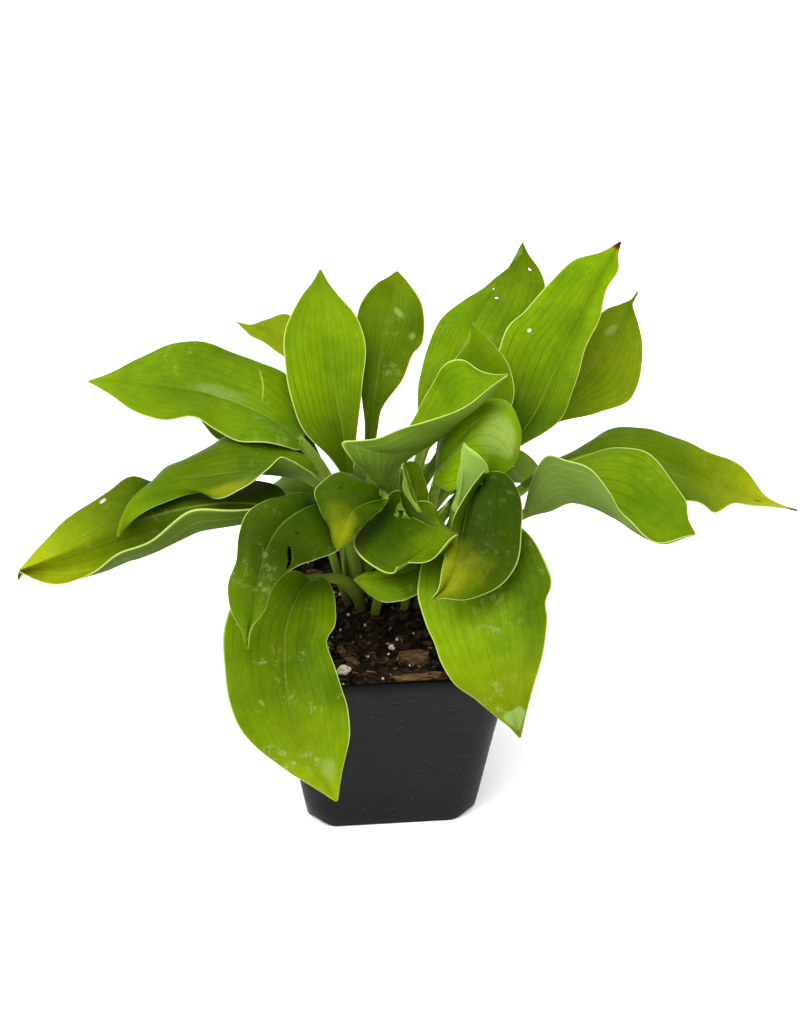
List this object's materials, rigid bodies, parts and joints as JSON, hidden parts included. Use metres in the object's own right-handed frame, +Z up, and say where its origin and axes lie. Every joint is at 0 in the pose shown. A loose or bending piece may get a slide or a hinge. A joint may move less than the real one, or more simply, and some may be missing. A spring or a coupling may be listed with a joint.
{
  "type": "potted hosta plant",
  "caption": "Leafy hosta clump with broad pointed, waved leaves arching over a square dark nursery pot filled with bark and perlite soil.",
  "frame": {"origin": "on the ground under the middle of the square pot, in the plane of its flat underside", "axes": "+Z up; -Y towards the front face of the pot; +X to the right as seen from the front, along the plant's longest extent"},
  "size_m": [0.3868, 0.2263, 0.249],
  "materials": {
    "pot_plastic": "satin",
    "soil": "matte",
    "bark": "matte",
    "perlite": "matte",
    "leaf": "satin"
  },
  "bodies": {
    "root": {"bark_back_left": "bark", "bark_back_right": "bark", "bark_bent_strip": "bark", "bark_chunk": "bark", "bark_front_slab": "bark", "bark_left_chip": "bark", "bark_right_chip": "bark", "leaf_back_left": "leaf", "leaf_back_middle": "leaf", "leaf_back_right": "leaf", "leaf_center_arching": "leaf", "leaf_center_back": "leaf", "leaf_center_drooping": "leaf", "leaf_center_folded": "leaf", "leaf_center_pale": "leaf", "leaf_front_center": "leaf", "leaf_front_left_high": "leaf", "leaf_front_left_low": "leaf", "leaf_front_low": "leaf", "leaf_front_right": "leaf", "leaf_front_small": "leaf", "leaf_left_back": "leaf", "leaf_left_lower": "leaf", "leaf_left_middle": "leaf", "leaf_left_rear": "leaf", "leaf_left_upper": "leaf", "leaf_right_big": "leaf", "leaf_right_far": "leaf", "leaf_right_far_back": "leaf", "leaf_right_near": "leaf", "leaf_right_tall": "leaf", "leaf_upright_left": "leaf", "leaf_upright_middle": "leaf", "leaf_young_left": "leaf", "leaf_young_right": "leaf", "perlite_back": "perlite", "perlite_big": "perlite", "perlite_left": "perlite", "perlite_middle": "perlite", "perlite_right": "perlite", "pot": "pot_plastic", "soil": "soil"}
  },
  "joints": []
}
